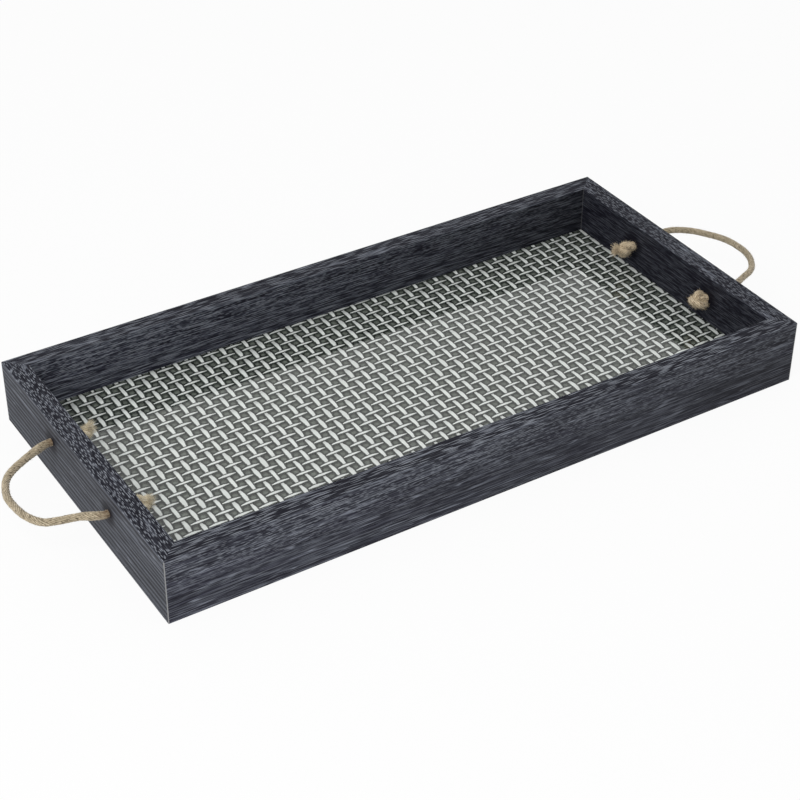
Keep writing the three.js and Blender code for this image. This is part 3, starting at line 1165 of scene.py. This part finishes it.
def crimpedBandTree(values):
    tree, given, result = newGrowth("crimpedBands", values, False)

    # turns a cosine into flat crests with steep sides between them
    def flattened(wave):
        return times(wave, scaled(times(wave, wave), -0.5, 1.5))

    def bowed(distance, reach, bow):
        share = sums("DIVIDE", distance, reach)
        return times(inverse(times(share, share)), bow)

    def drifting(spot):
        return step(tree, "ShaderNodeTexNoise", {"Vector": spot, "Scale": 1.0, "Detail": 1.0}).outputs["Fac"]

    def stored(geometry, label, value):
        links = {"Geometry": geometry, "Name": label, "Value": value}
        return geo(tree, "StoreNamedAttribute", links, data_type="FLOAT", domain="POINT")

    def named(label):
        return geo(tree, "InputNamedAttribute", {"Name": label}, data_type="FLOAT")

    end = vectors("SCALE", given["Run"], scale=given["Reach"])
    start = vectors("SCALE", end, scale=-1.0)
    straight = geo(tree, "CurvePrimitiveLine", {"Start": start, "End": end})
    fine = geo(tree, "ResampleCurve", {"Curve": straight, "Count": given["Points"]})
    copies = step(tree, "GeometryNodeDuplicateElements", {
        "Geometry": fine, "Amount": given["Bands"]}, domain="SPLINE")
    number = plus(copies.outputs["Duplicate Index"], given["First number"])
    place = tree.nodes.new("GeometryNodeInputPosition").outputs[0]
    along = vectors("DOT_PRODUCT", place, given["Run"])
    lean = scaled(along, given["Slope"], given["First place"])
    lean = plus(lean, bowed(along, given["Reach"], given["Bow"]))
    lane = scaled(number, given["Band spacing"], lean)
    lane = sums("MINIMUM", lane, given["Side limit"])
    lane = sums("MAXIMUM", lane, times(given["Side limit"], -1.0))
    askew = scaled(lane, given["Crossing slope"], given["First crossing"])
    askew = plus(askew, bowed(lane, given["Side limit"], given["Crossing bow"]))
    crossings = sums("DIVIDE", minus(along, askew), given["Crossing spacing"])
    wave = sums("COSINE", times(plus(number, crossings), math.pi))
    rise = times(flattened(flattened(wave)), given["Crimp"])
    crest = scaled(times(wave, sums("SIGN", given["Crimp"])), 0.5, 0.5)
    drift = times(along, weave["driftPerMetre"])
    spot = joined(times(number, weave["driftPerBand"]), drift, given["Seed"])
    tone = drifting(vectors("ADD", spot, weave["toneShift"]))
    shake = times(minus(drifting(spot), 0.5), given["Wander"])
    aside = vectors("SCALE", given["Across"], scale=plus(lane, shake))
    upward = joined(0.0, 0.0, plus(rise, given["Height"]))
    laid = stored(stored(copies.outputs[0], "crest", crest), "tone", tone)
    swell = scaled(minus(tone, 0.5), given["Unevenness"], 1.0)
    sized = geo(tree, "SetCurveRadius", {"Curve": laid, "Radius": swell})
    moved = geo(tree, "SetPosition", {"Geometry": sized, "Offset": vectors("ADD", aside, upward)})
    upright = geo(tree, "SetCurveNormal", {"Curve": moved}, mode="Z_UP")
    ring = geo(tree, "CurvePrimitiveCircle", {"Resolution": weave["sectionCorners"], "Radius": 0.5})
    sideways = times(sums("ABSOLUTE", split(place)[0]), 2.0)
    section = geo(tree, "Transform", {
        "Geometry": stored(ring, "side", sideways),
        "Scale": joined(given["Band width"], given["Band thickness"], 1.0)})
    bands = sweptMesh(tree, upright, section)
    # painted highlight and shade: each band is marked bright along its middle, widest at the crest, and dark
    # towards its sides
    reachOfShine = minus(given["Bright middle"], given["Bright end"])
    shine = scaled(named("crest"), reachOfShine, given["Bright end"])
    shiny = stored(bands, "glint", minus(shine, named("side")))
    smooth = geo(tree, "SetShadeSmooth", {"Geometry": shiny})
    pieces = [smooth]
    bar = geo(tree, "MeshCube", {"Size": given["Bar size"]})
    for way in (1.0, -1.0):
        there = vectors("SCALE", given["Bar place"], scale=way)
        lifted = vectors("ADD", there, joined(0.0, 0.0, given["Height"]))
        pieces.append(geo(tree, "Transform", {"Geometry": bar, "Translation": lifted}))
    real = geo(tree, "RealizeInstances", {"Geometry": gathered(tree, pieces)})
    coated = geo(tree, "SetMaterial", {"Geometry": real, "Material": given["Metal"]})
    tree.links.new(coated, result)
    return tree


# bright is a painted highlight along each band's middle; edge is painted shade on the flanks and also the
# tone of duller bands
metalLook = {
    "bright": (0.99, 0.99, 0.975),
    "edge": (0.028, 0.036, 0.028),
    "metallic": 0.15,
    "raggedness": 0.35,
    "glint": (-0.1, 0.1),
    "dull": (0.35, 0.75, 0.12),
}


def galvanisedFinish():
    finish, tree, shader = newFinish("galvanisedMetal")
    coords = objectCoords(tree)
    mottle = grainNoise(coords, (900, 900, 900), detail=3)
    brushed = grainNoise(coords, (700, 700, 2600), detail=2, shift=(3, 1, 2))
    ragged = scaled(minus(mottle, 0.5), metalLook["raggedness"], attribute(tree, "glint"))
    # painted highlight down the middle of each band, painted shade on its flanks
    bright = between(ragged, *metalLook["glint"])
    dull = marked(attribute(tree, "tone"), *metalLook["dull"])
    colour = blended(bright, metalLook["edge"], metalLook["bright"])
    fill(shader, {
        "Base Color": blended(dull, colour, metalLook["edge"]),
        "Metallic": metalLook["metallic"],
        "Roughness": scaled(mottle, 0.22, 0.32),
        "Normal": bumped(brushed, strength=0.15, distance=0.1 * mm),
    })
    return finish


metal = galvanisedFinish()


def bandValues(own, other):
    crossings = 2 * own["Reach"] / other["Band spacing"]
    return {
        **bothWays, **own, "Metal": metal,
        "Points": round(crossings * weave["pointsPerCrossing"]) + 1,
        "Crossing spacing": other["Band spacing"],
        "First crossing": other["First place"],
        "Crossing slope": other["Slope"],
        "Crossing bow": other["Bow"],
    }


bandTree = crimpedBandTree(bandValues(strips, wires))


def wovenBands(name, node, own, other):
    carrier = meshObject(name, bpy.data.meshes.new(name))
    grow(carrier, bandTree, bandValues(own, other))
    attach(carrier, "tray")
    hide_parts(node)
    print(name, "faces", len(carrier.data.polygons))


wovenBands("crossStrips", "woven_cross_strips", strips, wires)
wovenBands("longWires", "woven_long_wires", wires, strips)
print("weave made")

# Glass, board and steel keep their CAD shapes
glassLook = {
    "tint": (0.955, 0.98, 0.968),
    "passing": (0.965, 0.975, 0.97),
    "ior": 1.66,
    "smears": (0.45, 0.8, 0.05),
}


def glassFinish():
    finish, tree, shader = newFinish("clearFloatGlass")
    smears = grainNoise(objectCoords(tree), (16, 34, 16), detail=4, warp=1.2)
    fill(shader, {
        "Base Color": glassLook["tint"],
        "IOR": glassLook["ior"],
        "Transmission Weight": 1.0,
        "Roughness": marked(smears, *glassLook["smears"]),
    })
    rays = tree.nodes.new("ShaderNodeLightPath").outputs
    passing = sums("MAXIMUM", rays["Is Shadow Ray"], rays["Is Diffuse Ray"])
    passing = sums("MAXIMUM", passing, rays["Is Glossy Ray"])
    clear = step(tree, "ShaderNodeBsdfTransparent", {"Color": glassLook["passing"]})
    mixed = step(tree, "ShaderNodeMixShader", {0: passing, 1: shader.outputs[0], 2: clear.outputs[0]})
    fill(tree.nodes["Material Output"], {"Surface": mixed.outputs[0]})
    return finish


boardLook = {
    "grey": (0.25, 0.27, 0.237),
    "darker": (0.115, 0.125, 0.107),
    "bowShare": 0.6,
    "litGapMiddle": (0.65, 0.97),
    "mottling": 1.6,
    "clouds": (0.4, 0.7, 0.3),
    "underside": 4.7 * mm,
    "undersideTone": 0.7,
    "screenPitch": 1.6 * mm,
    "screenRelief": 0.6,
    "screenShade": (-0.2, 0.9, 0.35),
}


# painted light and shade: paler in the middle of each gap in the weave and darker towards the bands over it,
# with a pressed screen on the underside
def boardFinish():
    finish, tree, shader = newFinish("greyHardboard")
    coords = objectCoords(tree)
    x, y, z = split(coords)
    mottle = grainNoise(coords, (700, 700, 700), detail=4)
    clouds = grainNoise(coords, (30, 30, 30), detail=3, shift=(5, 5, 1))
    under = sums("LESS_THAN", z, boardLook["underside"])
    turns = math.tau / boardLook["screenPitch"]

    def gapped(place, along, bands):
        start = bands["First place"] + boardLook["bowShare"] * bands["Bow"]
        fromBand = minus(scaled(along, -bands["Slope"], place), start)
        inGap = sums("DIVIDE", fromBand, bands["Band spacing"])
        return sums("ABSOLUTE", sums("SINE", times(inGap, math.pi)))

    def pressed(place):
        return sums("SINE", times(place, turns))

    # painted shade of the bands on the board, lighter in each gap's middle
    inGaps = times(gapped(x, y, strips), gapped(y, x, wires))
    middle = minus(between(inGaps, *boardLook["litGapMiddle"]), under)
    middle = sums("MAXIMUM", middle, times(under, boardLook["undersideTone"]))
    grain = scaled(minus(mottle, 0.5), boardLook["mottling"], middle)
    screen = times(pressed(x), pressed(y))
    shade = times(marked(screen, *boardLook["screenShade"]), under)
    relief = plus(mottle, times(screen, under, boardLook["screenRelief"]))
    colour = blended(between(grain, 0.0, 1.0), boardLook["darker"], boardLook["grey"])
    colour = layered(colour, [
        (marked(clouds, *boardLook["clouds"]), boardLook["darker"]),
        (shade, boardLook["darker"]),
    ])
    fill(shader, {
        "Base Color": colour,
        "Roughness": scaled(mottle, 0.2, 0.6),
        "Normal": bumped(relief, strength=0.4, distance=0.2 * mm),
    })
    return finish


steelLook = {
    "bright": (0.62, 0.63, 0.65),
    "dull": (0.36, 0.365, 0.37),
    "rust": (0.24, 0.13, 0.07),
    "drawn": (0.3, 0.7),
    "rusted": (0.62, 0.78, 0.4),
    "metallic": 0.95,
}


def steelFinish():
    finish, tree, shader = newFinish("stampedSteel")
    coords = objectCoords(tree)
    drawn = grainNoise(coords, (300, 2600, 2600), detail=3)
    spots = grainNoise(coords, (260, 260, 260), detail=3, shift=(1, 4, 6))
    colour = blended(between(drawn, *steelLook["drawn"]), steelLook["dull"], steelLook["bright"])
    fill(shader, {
        "Base Color": blended(marked(spots, *steelLook["rusted"]), colour, steelLook["rust"]),
        "Metallic": steelLook["metallic"],
        "Roughness": scaled(spots, 0.3, 0.25),
        "Normal": bumped(drawn, strength=0.2, distance=0.1 * mm),
    })
    return finish


def coat(node, finish):
    slots = node.material_slots
    if not slots:
        node.data.materials.append(finish)
    for slot in slots:
        slot.material = finish


steel = steelFinish()
coats = {
    "glass_pane": glassFinish(), "backing_board": boardFinish(), "glazier_point": steel, "v_nail": steel,
}
for nodeName, node in cadNodes.items():
    for part, finish in coats.items():
        if part in nodeName:
            coat(node, finish)
print("glass, board and steel coated")
